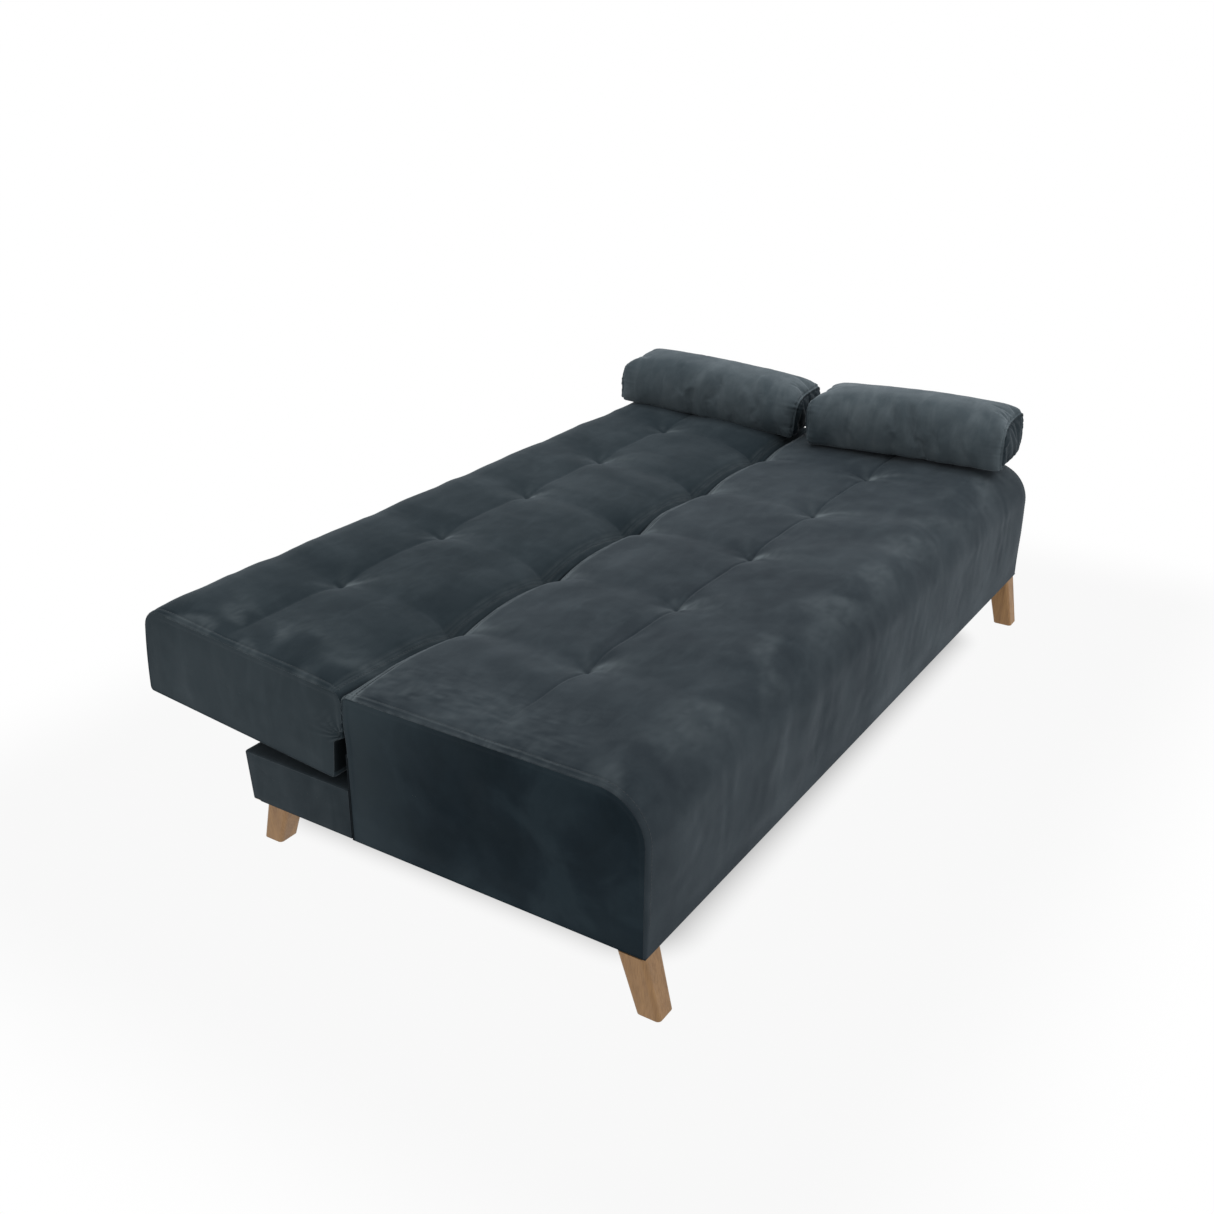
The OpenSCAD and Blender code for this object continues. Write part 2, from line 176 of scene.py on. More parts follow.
def graded(at, centres, step, fine=0.5, reach=42 * MM):
    """Spacing of points: `step`, falling to `fine` of it near each centre."""
    near = np.zeros(len(at))
    for c in centres:
        near = np.maximum(near, hump(at - c, reach))
    return step * (1 - (1 - fine) * near)


def spaced(at, gap):
    count = np.r_[0, np.cumsum(np.diff(at) / gap[1:])]
    return np.interp(np.linspace(0, count[-1], int(count[-1]) + 1), count, at)


def between(values, low, high):
    """True for each step from one value to the next that lies within low and high, on either side."""
    a, b = abs(values[:-1]), abs(values[1:])
    return (np.minimum(a, b) > low - HAIR) & (np.maximum(a, b) < high + HAIR)


def insert(values, lines, clear=1.3 * MM):
    """The values with the given lines added, and any old value too near to a line left out."""
    lines = np.array(sorted(lines), float)
    inner = values[1:-1]
    if len(lines):
        inner = inner[np.abs(inner[:, None] - lines[None, :]).min(1) > clear]
    return np.sort(np.r_[values[0], inner, lines, values[-1]])


# ---- materials ----

class Tree:
    """A short way to write a material's nodes."""

    def __init__(self, name):
        self.material = bpy.data.materials.new(name)
        self.material.use_nodes = True
        self.nodes = self.material.node_tree.nodes
        self.shader = self.nodes["Principled BSDF"]
        self.place = self.add("TexCoord").outputs["Object"]

    def add(self, kind, inputs=None, **attributes):
        made = self.nodes.new("ShaderNode" + kind)
        for key, value in attributes.items():
            setattr(made, key, value)
        for key, value in (inputs or {}).items():
            self.put(made.inputs[key], value)
        return made

    def put(self, socket, value):
        if isinstance(value, bpy.types.NodeSocket):
            self.material.node_tree.links.new(value, socket)
        else:
            socket.default_value = value

    def set(self, **inputs):
        for key, value in inputs.items():
            self.put(self.shader.inputs[key.replace("_", " ")], value)

    def stretched(self, scale):
        return self.add("Mapping", {"Vector": self.place, "Scale": scale}).outputs["Vector"]

    def noise(self, vector, scale, detail=3.0, rough=0.55, distortion=0.0):
        return self.add("TexNoise", {
            "Vector": vector, "Scale": scale, "Detail": detail, "Roughness": rough,
            "Distortion": distortion}).outputs["Fac"]

    def ramp(self, factor, stops):
        made = self.add("ValToRGB", {"Fac": factor})
        while len(made.color_ramp.elements) < len(stops):
            made.color_ramp.elements.new(0.5)
        for element, (at, value) in zip(made.color_ramp.elements, stops):
            element.position = at
            element.color = (*value, 1) if isinstance(value, tuple) else (value, value, value, 1)
        return made.outputs["Color"]

    def mix(self, factor, a, b):
        made = self.add("Mix", data_type="RGBA")
        for i, value in ((0, factor), (6, a), (7, b)):
            if isinstance(value, tuple):
                value = (*value, 1)
            self.put(made.inputs[i], value)
        return made.outputs[2]

    def bump(self, height, distance, strength=1.0, normal=None):
        made = self.add("Bump", {"Height": height, "Distance": distance, "Strength": strength})
        if normal is not None:
            self.put(made.inputs["Normal"], normal)
        return made.outputs["Normal"]


def velvet(name, dark, mid, light, seed=0.0, sheen=0.16, blotch=0.45, streak=0.34,
           brush_marks_and_sheen=(0.120, 0.144, 0.156)):
    """Short-pile velvet: soft areas of pile laid each way, long hand strokes and a fine pile, with painted sheen
    highlights and some brush marks mixed in as a lighter colour where the mesh's painted_sheen_and_brushing
    attribute is high.
    """
    t = Tree(name)
    place = t.add("Mapping", {"Vector": t.place, "Location": (seed, -seed, seed / 2)})
    place = place.outputs["Vector"]
    drift = t.noise(place, 2.2, detail=2, rough=0.45, distortion=0.4)
    patches = t.noise(place, 7.0, detail=4, rough=0.48, distortion=0.5)
    strokes = t.noise(t.stretched((10, 24, 6)), 1.0, detail=4, rough=0.55, distortion=0.7)
    marks = t.noise(place, 30, detail=3, rough=0.5, distortion=0.4)
    pile = t.noise(place, 1500, detail=2)
    base = t.ramp(drift, [(0.36, dark), (0.50, mid), (0.66, light)])
    base = t.mix(blotch, base, t.ramp(patches, [(0.38, dark), (0.50, mid), (0.62, light)]))
    base = t.mix(streak, base, t.ramp(strokes, [(0.42, dark), (0.55, mid), (0.68, light)]))
    # painted highlights: towards a lighter colour where the mesh's attribute says so; a little of it is brush
    # marking
    base = t.mix(t.add("Attribute", attribute_name="painted_sheen_and_brushing").outputs["Fac"], base, brush_marks_and_sheen)
    base = t.mix(0.08, base, t.ramp(marks, [(0.40, dark), (0.60, light)]))
    base = t.mix(0.14, base, t.ramp(pile, [(0.3, dark), (0.7, light)]))
    normal = t.bump(marks, 0.5 * MM, 0.3)
    normal = t.bump(pile, 0.25 * MM, 0.5, normal)
    t.set(Base_Color=base, Roughness=0.88, Normal=normal, Specular_IOR_Level=0.12,
          Sheen_Weight=sheen, Sheen_Roughness=0.36, Sheen_Tint=(0.66, 0.76, 0.84, 1))
    return t.material


def wood(name, dark, light, grain=(60, 60, 3.5), rough=0.45):
    """Straight-grained wood, its grain along the axis with the smallest scale."""
    t = Tree(name)
    rings = t.noise(t.stretched(grain), 1.0, detail=5, rough=0.65, distortion=0.6)
    pores = t.noise(t.stretched(tuple(8 * g for g in grain)), 0.9, detail=2)
    tone = t.noise(t.place, 9, detail=2)
    base = t.ramp(rings, [(0.3, dark), (0.5, tuple((a + b) / 2 for a, b in zip(dark, light))), (0.72, light)])
    base = t.mix(0.22, base, t.ramp(pores, [(0.35, tuple(0.6 * c for c in dark)), (0.6, light)]))
    base = t.mix(0.15, base, t.ramp(tone, [(0.3, dark), (0.7, light)]))
    t.set(Base_Color=base, Roughness=t.ramp(pores, [(0.3, rough + 0.12), (0.7, rough)]),
          Normal=t.bump(pores, 0.15 * MM, 0.5))
    return t.material


def speckled(name, dark, light, scale=380, rough=0.8, height=0.3 * MM):
    """Foam, felt, chipboard, rubber or woven strap: a fine even grain with soft patches."""
    t = Tree(name)
    grain = t.noise(t.place, scale, detail=3, rough=0.7)
    patches = t.noise(t.place, 7, detail=3)
    base = t.ramp(grain, [(0.35, dark), (0.65, light)])
    base = t.mix(0.2, base, t.ramp(patches, [(0.35, dark), (0.65, light)]))
    t.set(Base_Color=base, Roughness=rough, Normal=t.bump(grain, height, 0.6))
    return t.material


def steel(name, dark, light, rough):
    t = Tree(name)
    brush_marks_and_sheen = t.noise(t.stretched((40, 900, 900)), 1.0, detail=3)
    patches = t.noise(t.place, 18, detail=3)
    tones = [(0.3, dark), (0.7, light)]
    shine = t.ramp(brush_marks_and_sheen, [(0.3, rough - 0.06), (0.7, rough + 0.08)])
    t.set(Base_Color=t.mix(0.35, t.ramp(patches, tones), t.ramp(brush_marks_and_sheen, tones)), Metallic=1.0,
          Roughness=shine, Normal=t.bump(brush_marks_and_sheen, 0.03 * MM, 0.4))
    return t.material


VELVET = velvet("velvet", (0.011, 0.017, 0.023), (0.022, 0.031, 0.038), (0.039, 0.051, 0.060))
VELVET_BACK = velvet("velvet_back", (0.008, 0.015, 0.020), (0.016, 0.025, 0.031), (0.030, 0.042, 0.050),
                     seed=5.3)
VELVET_BASE = velvet("velvet_base", (0.012, 0.019, 0.024), (0.024, 0.033, 0.039), (0.040, 0.052, 0.060),
                     seed=8.1)
# a darker copy of the velvet for the seat's end panels: painted shade of the side turned from the light
VELVET_END_PAINTED_SHADE = velvet("velvet_end_painted_shade", (0.003, 0.008, 0.012), (0.006, 0.013, 0.019), (0.017, 0.029, 0.037),
                    seed=1.7, sheen=0.05, blotch=0.70, brush_marks_and_sheen=(0.040, 0.055, 0.064), streak=0.08)
# a near-black copy of the velvet for the lower half of the slab's front face, down in the gap behind the seat:
# painted shade
VELVET_GAP_PAINTED_SHADE = velvet("velvet_gap_painted_shade", (0.001, 0.003, 0.004), (0.003, 0.006, 0.008), (0.007, 0.011, 0.014),
                     seed=4.4, sheen=0.02)
CUSHION_END = velvet("cushion_velvet_end", (0.009, 0.015, 0.020), (0.018, 0.027, 0.033),
                     (0.034, 0.046, 0.054), seed=6.2, sheen=0.08)
CUSHION_VELVET = velvet("cushion_velvet", (0.033, 0.047, 0.056), (0.064, 0.082, 0.093), (0.110, 0.133, 0.146),
                        seed=3.0, sheen=0.22)
THREAD = speckled("thread", (0.016, 0.022, 0.028), (0.045, 0.058, 0.068), scale=1600, rough=0.7)
LINING = speckled("lining", (0.008, 0.009, 0.010), (0.020, 0.021, 0.023), scale=900, rough=0.95)
FOAM = speckled("foam", (0.62, 0.55, 0.34), (0.82, 0.76, 0.53), scale=520, rough=0.95, height=0.8 * MM)
MATERIAL = {
    "oak": wood("oak", (0.165, 0.080, 0.026), (0.35, 0.190, 0.068)),
    "pine": wood("pine", (0.52, 0.34, 0.17), (0.74, 0.55, 0.33), grain=(3, 50, 50), rough=0.6),
    "zinc_steel": steel("zinc_steel", (0.45, 0.46, 0.46), (0.66, 0.66, 0.64), 0.36),
    "dark_steel": steel("dark_steel", (0.10, 0.10, 0.105), (0.22, 0.22, 0.23), 0.42),
    "foam": FOAM,
    "velvet": VELVET,
    "cushion_velvet": CUSHION_VELVET,
}
for plain, *look in (
        ("chipboard", (0.42, 0.29, 0.16), (0.66, 0.50, 0.31), 210, 0.75),
        ("hardboard", (0.16, 0.095, 0.05), (0.24, 0.15, 0.085), 600, 0.55),
        ("webbing", (0.012, 0.012, 0.013), (0.05, 0.05, 0.055), 700, 0.8),
        ("felt", (0.03, 0.028, 0.026), (0.07, 0.066, 0.062), 800, 0.98),
        ("rubber", (0.008, 0.008, 0.008), (0.018, 0.018, 0.018), 300, 0.6)):
    MATERIAL[plain] = speckled(plain, *look)


def dress_cad():
    """Every CAD node gets its slot's material."""
    slots = {p["node"]: p["material_slot"] for p in frame["record"]["subparts"]}
    for name, node in frame["nodes"].items():
        node.data.materials.clear()
        node.data.materials.append(MATERIAL[slots[name]])


# ---- mesh helpers ----

def make_mesh(name, verts, faces, material):
    mesh = bpy.data.meshes.new(name)
    mesh.from_pydata(np.asarray(verts, float).reshape(-1, 3).tolist(), [], faces)
    mesh.polygons.foreach_set("use_smooth", [True] * len(mesh.polygons))
    mesh.materials.append(material)
    made = bpy.data.objects.new(name, mesh)
    SCENE.collection.objects.link(made)
    return made


def grid_faces(rows, columns, start=0, skip=None, flip=False, wrap=False):
    faces = []
    last = columns if wrap else columns - 1
    for i in range(rows - 1):
        for j in range(last):
            if skip is not None and skip[i, j]:
                continue
            k = (j + 1) % columns
            quad = [start + i * columns + j, start + i * columns + k,
                    start + (i + 1) * columns + k, start + (i + 1) * columns + j]
            faces.append(quad[::-1] if flip else quad)
    return faces


class Shell:
    """Collects the grids of one cover and joins their shared edges."""

    def __init__(self):
        self.verts, self.faces, self.materials, self.painted_sheen_and_brushing = [], [], [], []
        self.count = 0

    def add(self, grid, skip=None, flip=False, material=0, painted_sheen_and_brushing=None):
        rows, columns = grid.shape[:2]
        faces = grid_faces(rows, columns, self.count, skip, flip)
        self.faces += faces
        self.materials += [material] * len(faces)
        self.verts.append(grid.reshape(-1, 3))
        self.painted_sheen_and_brushing.append(np.zeros(rows * columns) if painted_sheen_and_brushing is None else np.clip(painted_sheen_and_brushing, 0, 1).ravel())
        self.count += rows * columns

    def build(self, name, *materials, weld=0.05 * MM):
        made = make_mesh(name, np.concatenate(self.verts), self.faces, materials[0])
        for material in materials[1:]:
            made.data.materials.append(material)
        made.data.polygons.foreach_set("material_index", self.materials)
        # per point, how much of the lighter colour to mix in: painted sheen highlights, and some brush marks
        brush_marks_and_sheen = made.data.attributes.new("painted_sheen_and_brushing", "FLOAT", "POINT")
        brush_marks_and_sheen.data.foreach_set("value", np.concatenate(self.painted_sheen_and_brushing).astype(np.float32))
        b = bmesh.new()
        b.from_mesh(made.data)
        bmesh.ops.remove_doubles(b, verts=b.verts, dist=weld)
        bmesh.ops.delete(b, geom=[v for v in b.verts if not v.link_faces], context="VERTS")
        b.to_mesh(made.data)
        b.free()
        return made


def stitches(name, body, lines, pitch=7 * MM, length=5 * MM, radius=0.55 * MM, lift=0.35 * MM):
    """Short thread stitches along (points, normals) lines."""
    verts, faces = [], []
    around, rings = 6, (0.0, 0.16, 0.5, 0.84, 1.0)
    fat = (0.15, 0.8, 1.0, 0.8, 0.15)
    for points, normals in lines:
        travelled = np.r_[0, np.cumsum(np.linalg.norm(np.diff(points, axis=0), axis=1))]
        for k in range(int(travelled[-1] / pitch)):
            at = k * pitch + pitch / 2 + (np.array(rings) - 0.5) * length
            p, n = (look_up(at, travelled, values) for values in (points, normals))
            n = unit(n)
            side = unit(np.cross(np.gradient(p, axis=0), n))
            start = len(verts)
            for q in range(len(rings)):
                centre = p[q] + n[q] * (lift * (fat[q] - 0.3))
                for a in range(around):
                    turn = 2 * math.pi * a / around
                    out = math.cos(turn) * side[q] + math.sin(turn) * n[q]
                    verts.append(centre + radius * fat[q] * out)
            faces += grid_faces(len(rings), around, start, wrap=True)
            faces.append([start + a for a in range(around)][::-1])
            faces.append([start + (len(rings) - 1) * around + a for a in range(around)])
    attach(make_mesh(name, verts, faces, THREAD), body)


class Cover:
    """A sewn cover: a strip along X that follows a side outline, and two end panels."""

    def __init__(self, path, shape, place=None, edge=9 * MM, half=HALF, drop=None):
        self.path, self.shape, self.edge, self.half = path, shape, edge, half
        self.drop = drop or (lambda x, s: 0.0 * x * s)
        self.place = place or (lambda y, z: (y, z))

    def inset(self, x):
        """How far the strip curls inwards as it comes to the end seams."""
        near = np.clip((self.edge - (self.half - abs(x))) / self.edge, 0, 1)
        return self.edge * 0.55 * (1 - np.sqrt(1 - 0.98 * near ** 2))

    def point(self, x, s):
        x, s = np.broadcast_arrays(np.asarray(x, float), np.asarray(s, float))
        p, n = self.path.at(s)
        out = p + n * (self.shape(x, s) - self.inset(x))[..., None]
        out[..., 1] -= self.drop(x, s)
        y, z = self.place(out[..., 0], out[..., 1])
        return np.stack([x, y, z], -1)

    def normal(self, x, s):
        e = 1.0 * MM
        h = self.half
        a = self.point(np.clip(x + e, -h, h), s) - self.point(np.clip(x - e, -h, h), s)
        full = self.path.length
        b = self.point(x, np.clip(s + e, 0, full)) - self.point(x, np.clip(s - e, 0, full))
        return unit(np.cross(a, b))

    def line(self, x, s):
        x, s = np.broadcast_arrays(np.asarray(x, float), np.asarray(s, float))
        return self.point(x, s), self.normal(x, s)


def x_samples(step, lines=(), half=HALF, columns=()):
    at = np.linspace(-half + 22 * MM, half - 22 * MM, 4000)
    ends = half - np.array([0, 0.6, 1.5, 2.8, 4.0, 5.2, 6.6, 8.4, 10.0, 11.4, 12.6, 14.0, 16.2, 19.0]) * MM
    return insert(np.sort(np.r_[-ends, spaced(at, graded(at, columns, step)), ends]), lines)


def turned(dx, ds, turn):
    """How far points are along a direction, and how far off to its side."""
    return dx * math.cos(turn) + ds * math.sin(turn), -dx * math.sin(turn) + ds * math.cos(turn)


def tuft_dips(x, s, row, sharp, sharp_w, broad, broad_w, seed):
    """Blind tufts: a sharp pinch in a broad hollow, with creases that run out of it and fade."""
    total = 0.0
    rng = np.random.default_rng(seed)
    for tx in TUFT_X:
        dx, ds = x - tx, s - row
        r = np.hypot(dx, ds)
        total -= sharp * np.exp(-r / sharp_w) + broad * hump(r, broad_w)
        base = rng.uniform(0, 2 * math.pi)
        for k in range(7):
            turn = base + k * 2 * math.pi / 7 + rng.uniform(-0.28, 0.28)
            size, length = rng.uniform(0.7, 1.9) * MM, rng.uniform(22, 58) * MM
            width = rng.uniform(4.5, 7.5) * MM
            along, off = turned(dx, ds, turn)
            off = off - rng.uniform(-2.2, 2.2) * along ** 2
            fade = smooth(along, 9 * MM) * np.exp(-np.clip(along, 0, 1) / length)
            wide = width * (1 + np.clip(along, 0, 0.2) / 0.05)
            total += fade * size * (0.9 * hump(off - wide, wide) - hump(off, wide * 0.8))
    return total


RINGS = np.array([0, 0.8, 1.8, 3.2, 5.0, 7.5, 10.5, 12.5, 16, 21, 27, 34]) * MM


def soft_depth(p, loop):
    """Distance of points from a closed outline, rounded off where two of its sides are near."""
    edge = (loop + np.roll(loop, -1, axis=0)) / 2
    size = np.linalg.norm(np.roll(loop, -1, axis=0) - loop, axis=1)
    gap = np.linalg.norm(p[:, None, :] - edge[None, :, :], axis=2)
    near = (size / np.maximum(gap, 0.3 * size + 1e-5) ** 4).sum(1)
    return (near / (math.pi / 2)) ** (-1 / 3)


def end_panel(loop, middle, half, side, puff, step):
    """Rings from a closed (y, z) loop in to a middle line, pushed out along X by puff(y, z, depth)."""
    a, b = (np.array(p) for p in middle)
    t = np.clip((loop - a) @ (b - a) / ((b - a) @ (b - a)), 0, 1)
    target = a + t[:, None] * (b - a)
    reach = np.linalg.norm(target - loop, axis=1)
    deep = reach.min() * 0.96
    rings = np.r_[RINGS[RINGS < deep * 0.6], np.arange(max(RINGS[RINGS < deep * 0.6]) + step, deep, step)]
    fractions = np.r_[rings / reach.min() * 0.999, 1.0]
    grid = np.zeros((len(fractions), len(loop), 3))
    for i, f in enumerate(fractions):
        # near the edge the rings keep an even distance from it; further in they close up on the middle
        even = np.minimum(f * reach.min() / reach, 1)
        share = even + (f - even) * smooth(f)
        p = loop + (target - loop) * share[:, None]
        depth = soft_depth(p, loop) if i else np.zeros(len(loop))
        rise = smooth(rings[min(i, len(rings) - 1)] / (1.5 * MM))
        grid[i, :, 0] = side * (half + puff(p[:, 0], p[:, 1], depth) * rise)
        grid[i, :, 1:] = p
    return grid


def patch(a, b, c):
    """A flat strip of fabric from a to b, as wide as from a to c."""
    a, b, c = (np.array(p, float) for p in (a, b, c))
    t, u = np.linspace(0, 1, 40)[:, None, None], np.linspace(0, 1, 6)[None, :, None]
    return a + (b - a) * t + (c - a) * u


def soft_box(name, lo, hi, radius, material, step=25 * MM, rough=1.2 * MM):
    """A block of foam with rounded, slightly uneven faces."""
    lo, hi = np.array(lo, float), np.array(hi, float)
    shell = Shell()
    for axis in range(3):
        u, v = [k for k in range(3) if k != axis]
        line = [edge_line(lo[k], hi[k], radius, step) for k in (u, v)]
        for side in (0, 1):
            g = np.zeros((len(line[0]), len(line[1]), 3))
            g[..., u], g[..., v] = np.meshgrid(*line, indexing="ij")
            g[..., axis] = (lo, hi)[side][axis]
            core = np.clip(g, lo + radius, hi - radius)
            lump = rough * waves(g[..., u] + g[..., axis], g[..., v] - g[..., axis], 0.22, 1)
            shell.add(core + unit(g - core) * radius, flip=(side == 0) == (axis != 1))
            shell.verts[-1][:, axis] += (lump * (1 if side else -1)).ravel() * smooth(
                np.min(np.minimum(g - lo, hi - g)[..., [u, v]], -1) / (3 * radius)).ravel()
    return shell.build(name, material)


def edge_line(a, b, radius, step):
    bend = radius * (1 - np.cos(np.linspace(0, math.pi / 2, 5)))
    inner = np.linspace(a + radius, b - radius, max(2, int((b - a - 2 * radius) / step) + 1))
    return np.r_[a + bend[:-1], inner, b - bend[:-1][::-1]]


# ---- seat cover ----

REAR_FLAP_Z = 300 * MM
HEM = 22 * MM
SEAT_PATH = Path([
    (FRONT_Y, APRON_Z, 0), (FRONT_Y, SEAM_Z, 90 * MM),
    (SEAT_REAR_Y, SEAM_Z, 13 * MM), (SEAT_REAR_Y, REAR_FLAP_Z, 0)])
S_TOP = SEAT_PATH.where(y=FRONT_Y + 70 * MM, nearest_to=0.4)
S_MID = SEAT_PATH.where(y=FRONT_Y + SEAT_TUFT_Y, nearest_to=0.6)
S_CREASE = SEAT_PATH.where(y=SEAT_REAR_Y - 5 * MM, nearest_to=0.9)
CREASE_LINES = (2 * MM, 10 * MM, 19 * MM)


def fine_lines(*centres):
    """A line, and one each side of it, so that a groove there is crisp."""
    return [c + d for c in centres for d in (-2.2 * MM, 0, 2.2 * MM)]


def near_tuft(x, width):
    return sum(hump(x - tx, width) for tx in TUFT_X)


def scallop(x):
    """0 at a crease tuft and 1 midway between two: the curve that the pulled edge takes."""
    away = np.min([abs(x - tx) for tx in TUFT_X], axis=0) / (HALF / 6)
    return 1 - (1 - np.clip(away, 0, 1)) ** 2.3


def arch(s, a, b, power=0.75):
    return np.sin(math.pi * np.clip((s - a) / (b - a), 0, 1)) ** power


def groove(gap, width):
    """1 in the bottom of a narrow groove, falling away steeply."""
    return np.exp(-(abs(gap) / width) ** 1.5)


def ripples(crown, x, s, crease, way, size):
    """Small creases where the crease tufts pull the cover together."""
    fine = np.sin((x * 2 + way * s) * 2 * math.pi / size)
    return crown * 0.9 * MM * near_tuft(x, 30 * MM) * fine * hump(s - crease, 40 * MM)


def end_fade(x, width=42 * MM, half=HALF):
    return 1 - np.exp(-(half - abs(x)) / width)


def highlight_strokes(x, s, row, seed):
    """Painted highlights: short light strokes that run out of the tufts of a row, mostly towards the front, where
    the creases there would catch the light.
    """
    total = 0.0
    rng = np.random.default_rng(seed)
    for tx in TUFT_X:
        dx, ds = x - tx, row - s
        for turn, strength in ((1.0, 1.0), (0.55, 0.6), (1.5, 0.45), (3.6, 0.35), (-0.6, 0.3)):
            turn += rng.uniform(-0.15, 0.15)
            along, off = turned(dx, ds, turn)
            off = off - 1.4 * along ** 2
            reach = rng.uniform(32, 52) * MM
            wide = 5 * MM + 0.16 * np.clip(along, 0, 1)
            fade = smooth(along, 14 * MM) * np.exp(-np.clip(along, 0, 1) / reach)
            total += strength * fade * hump(off, wide)
    return total


def streaky(x, s, seed):
    """Uneven streaks along X, from 0 to 1."""
    fine, broad = waves(x * 0.22, s, 11 * MM, seed), waves(x, s, 60 * MM, seed + 1)
    return np.clip(0.5 + 0.45 * fine + 0.25 * broad, 0, 1)


def seam_highlights(x):
    """Two painted highlights along the raised seam at each end."""
    gap = HALF - abs(x)
    return hump(gap - 9.2 * MM, 1.6 * MM) + 0.8 * hump(gap - 1.2 * MM, 1.5 * MM)


# painted highlights on the seat: strokes out of the tufts, the crest and ridges along the crease, the end seams
# and the front roll; and long brush marks near the -X end
def seat_highlights_and_brushing(x, s):
    lit = 1.3 * highlight_strokes(x, s, S_MID, 61) + 1.5 * highlight_strokes(x, s, S_CREASE, 62)
    after = np.min([np.where(x > tx, x - tx, 9) for tx in (-HALF, *TUFT_X)], axis=0)
    edge = 0.35 + 0.65 * np.exp(-after / (90 * MM))
    lit += edge * 0.45 * hump(S_CREASE - 12 * MM - s, 15 * MM)
    for line in CREASE_LINES:
        lit += edge * hump(S_CREASE - line - 4.5 * MM - s, 2.6 * MM)
    lit += 0.38 * seam_highlights(x) * smooth(s - S_TOP, 60 * MM)
    lit += 0.35 * hump(s - S_TOP + 10 * MM, 50 * MM) * smooth(0.5 + waves(x, s, 180 * MM, 63))
    lit += 0.30 * hump(x + HALF - 60 * MM, 90 * MM) * smooth(s - S_TOP, 0.2) * streaky(s, x, 66)
    return lit * (0.45 + 0.55 * streaky(x, s, 64))


# painted highlights on the slab: strokes out of the tufts, a lit patch near the -X end, the ridges along the
# crease and the end seams
def back_highlights(x, s):
    lit = highlight_strokes(x, s, B_ROW, 71)
    lit += 0.4 * hump(x + HALF - 50 * MM, 80 * MM) * smooth(0.2 + waves(x, s, 130 * MM, 73))
    for line in BACK_LINES:
        lit += 0.22 * hump(s - B_CREASE - line - 2.5 * MM, 1.8 * MM)
    lit += 0.26 * seam_highlights(x) * smooth(s - B_CREASE, 20 * MM)
    return lit * (0.45 + 0.55 * streaky(x, s, 74))


# lighter towards the rear and the top of the seat's end panels
def seat_end_gradient(y, z):
    rear = smooth(y - FRONT_Y - 0.40, 0.2)
    return 0.5 * rear + 0.2 * smooth(z - 0.30, 0.12) * smooth(y - FRONT_Y - 0.2, 0.25)


def seat_shape(x, s):
    crown = end_fade(x) * smooth(s - S_TOP + 90 * MM, 120 * MM) * smooth(S_CREASE + 6 * MM - s, 34 * MM)
    near, rear = arch(s, S_TOP - 50 * MM, S_MID), arch(s, S_MID, S_CREASE + 30 * MM)
    out = crown * (9 * MM + 6 * MM * near + 9 * MM * rear)
    out -= crown * (0.5 * MM + 6 * MM * near_tuft(x, 62 * MM)) * hump(s - S_MID, 38 * MM)
    out -= crown * 3.0 * MM * near_tuft(x, 38 * MM) * smooth(s - S_TOP, 150 * MM)
    seam = smooth(850 * MM - abs(x), 120 * MM)
    out -= 1.3 * MM * seam * groove(s - S_MID, 1.9 * MM)
    out += 0.4 * MM * seam * hump(abs(s - S_MID) - 5 * MM, 3 * MM)
    for line in CREASE_LINES:
        out -= 2.4 * MM * end_fade(x, 8 * MM) * groove(S_CREASE - line - s, 1.9 * MM)
        out += 1.4 * MM * end_fade(x) * hump(S_CREASE - line - 4.5 * MM - s, 2.6 * MM)
    for gap in (5.2 * MM, 12.6 * MM):
        out -= 1.0 * MM * groove(HALF - gap - abs(x), 1.5 * MM) * smooth(s - S_TOP + 60 * MM, 60 * MM)
    out += tuft_dips(x, s, S_MID, 7 * MM, 10 * MM, 2.5 * MM, 45 * MM, 11)
    out += 3.5 * MM * smooth(s - S_CREASE + 2 * MM, 12 * MM) * smooth(S_CREASE + 110 * MM - s, 60 * MM)
    out += ripples(crown, x, s, S_CREASE, 1, 21 * MM)
    # the front face bellies a little and hangs in faint upright folds
    face = arch(s, 25 * MM, S_TOP, 0.8)
    folds = 0.35 * MM * waves(x, s * 0.25, 70 * MM, 5) + 0.6 * MM * waves(x, s * 0.3, 190 * MM, 6)
    out += end_fade(x, 25 * MM) * face * (4.5 * MM + folds)
    calm = end_fade(x, 20 * MM) * smooth(s, 60 * MM)
    small = uneven(x, s, (0.30, 85, 4), (0.10, 30, 9))
    out += calm * (1.3 * MM * waves(x, s, 240 * MM, 3) + small)
    return out


def felled(depth, height=1.3 * MM):
    """The raised band of a flat-felled seam, beside the dip where the panels meet."""
    return height * (smooth(depth - 1.2 * MM, 1.2 * MM) * smooth(10.5 * MM - depth, 1.5 * MM))


def seat_end(y, z, depth):
    top = smooth(z - 0.20, 60 * MM)
    rise = smooth(depth, 60 * MM)
    soft = uneven(y, z, (1.2, 190, 21), (0.5, 70, 22))
    return -1.2 * MM + felled(depth) * top + rise * (4 * MM + soft) * smooth(depth, 18 * MM)


